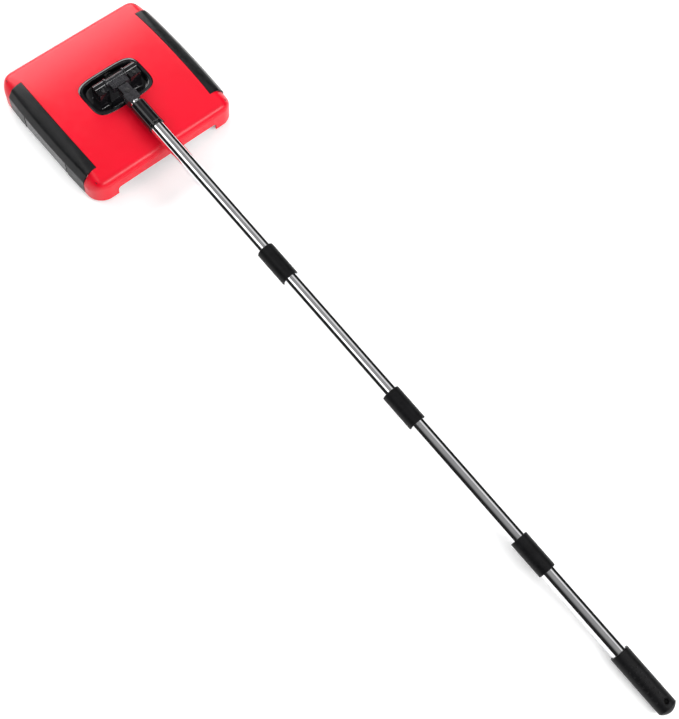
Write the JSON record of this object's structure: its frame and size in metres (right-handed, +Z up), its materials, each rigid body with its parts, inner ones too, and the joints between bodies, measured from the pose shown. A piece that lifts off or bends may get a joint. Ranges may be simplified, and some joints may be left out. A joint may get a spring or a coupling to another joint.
{
  "type": "carpet sweeper",
  "caption": "Manual carpet sweeper: crowned head with side panels, wheel-driven brush, opening dust pans, and a tilting, swivelling sectional tube handle.",
  "frame": {"origin": "on the floor under the middle of the whole object's box, with the head forward of it and the grip behind it", "axes": "+Y forward along the handle towards the head's front, +X to the head's right, +Z up from the floor"},
  "size_m": [0.233, 1.1386, 0.0743],
  "materials": {
    "red_plastic": "satin moulded",
    "black_panel": "fine texture",
    "gloss_black": "gloss",
    "dark_grey_plastic": "satin",
    "grip_black": "soft matte",
    "tube_steel": "polished",
    "bright_steel": "polished",
    "plain_steel": "plain",
    "blackened_steel": "black oxide",
    "tyre_rubber": "matte",
    "bristle": "satin fibre",
    "bush_nylon": "satin"
  },
  "bodies": {
    "head": {"top_shell": "red_plastic", "end_panel_left": "black_panel", "end_panel_right": "black_panel", "pivot_well": "gloss_black", "pivot_caps": "gloss_black", "cap_screws": "blackened_steel", "base_frame": "black_panel", "case_screws": "plain_steel", "axle_bushes": "bush_nylon", "brush_bushes": "bush_nylon", "lever_rods": "plain_steel", "pan_springs": "plain_steel"},
    "left_lever": {"release_lever_left": "dark_grey_plastic"},
    "right_lever": {"release_lever_right": "dark_grey_plastic"},
    "front_dust_pan": {"front_pan": "black_panel", "front_pan_rod": "plain_steel"},
    "rear_dust_pan": {"rear_pan": "black_panel", "rear_pan_rod": "plain_steel"},
    "front_wheelset": {"front_axle": "plain_steel", "wheel_hub_front_left": "black_panel", "wheel_hub_front_right": "black_panel", "tyre_front_left": "tyre_rubber", "tyre_front_right": "tyre_rubber"},
    "rear_wheelset": {"rear_axle": "plain_steel", "wheel_hub_rear_left": "black_panel", "wheel_hub_rear_right": "black_panel", "tyre_rear_left": "tyre_rubber", "tyre_rear_right": "tyre_rubber"},
    "brush_roll": {"brush_core": "black_panel", "brush_tufts": "bristle", "brush_axle": "plain_steel", "drive_ring_left": "tyre_rubber", "drive_ring_right": "tyre_rubber"},
    "tee": {"pivot_tee": "dark_grey_plastic"},
    "handle": {"swivel_yoke": "dark_grey_plastic", "swivel_pin": "blackened_steel", "collar_ring": "bright_steel", "ferrule": "gloss_black", "tube_1": "tube_steel", "tube_2": "tube_steel", "tube_3": "tube_steel", "tube_4": "tube_steel", "coupler_1": "grip_black", "coupler_2": "grip_black", "coupler_3": "grip_black", "joint_plug_1": "black_panel", "joint_plug_2": "black_panel", "joint_plug_3": "black_panel", "grip": "grip_black"}
  },
  "joints": [
    {"name": "handle_pitch", "type": "hinge", "parent": "head", "child": "tee", "pos_m": [0, 0.46031, 0.066], "axis": [-1, 0, 0], "range_deg": [0, 100]},
    {"name": "handle_swivel", "type": "hinge", "parent": "tee", "child": "handle", "pos_m": [0, 0.43235, 0.06454], "axis": [0, -0.0522, 0.9986], "range_deg": [-30, 30]},
    {"name": "front_axle_spin", "type": "hinge", "parent": "head", "child": "front_wheelset", "pos_m": [0, 0.49031, 0.018], "axis": [-1, 0, 0], "continuous": true},
    {"name": "rear_axle_spin", "type": "hinge", "parent": "head", "child": "rear_wheelset", "pos_m": [0, 0.43031, 0.018], "axis": [-1, 0, 0], "continuous": true},
    {"name": "brush_spin", "type": "hinge", "parent": "head", "child": "brush_roll", "pos_m": [0, 0.46031, 0.0185], "axis": [-1, 0, 0], "continuous": true},
    {"name": "front_pan_open", "type": "hinge", "parent": "head", "child": "front_dust_pan", "pos_m": [0, 0.55231, 0.013], "axis": [1, 0, 0], "range_deg": [0, 50], "stiffness_Nm_per_rad": 0.06, "springref_deg": -68.75},
    {"name": "rear_pan_open", "type": "hinge", "parent": "head", "child": "rear_dust_pan", "pos_m": [0, 0.36831, 0.013], "axis": [-1, 0, 0], "range_deg": [0, 50], "stiffness_Nm_per_rad": 0.06, "springref_deg": -68.75},
    {"name": "left_lever_press", "type": "hinge", "parent": "head", "child": "left_lever", "pos_m": [-0.111, 0.46031, 0.016], "axis": [0, 1, 0], "range_deg": [0, 18]},
    {"name": "right_lever_press", "type": "hinge", "parent": "head", "child": "right_lever", "pos_m": [0.111, 0.46031, 0.016], "axis": [0, -1, 0], "range_deg": [0, 18]}
  ],
  "couplings": [
    {"joint": "rear_axle_spin", "follows": "front_axle_spin", "ratio": 1},
    {"joint": "brush_spin", "follows": "front_axle_spin", "ratio": -1.5445},
    {"joint": "rear_pan_open", "follows": "front_pan_open", "ratio": 1},
    {"joint": "left_lever_press", "follows": "front_pan_open", "ratio": 0.36},
    {"joint": "right_lever_press", "follows": "front_pan_open", "ratio": 0.36}
  ]
}
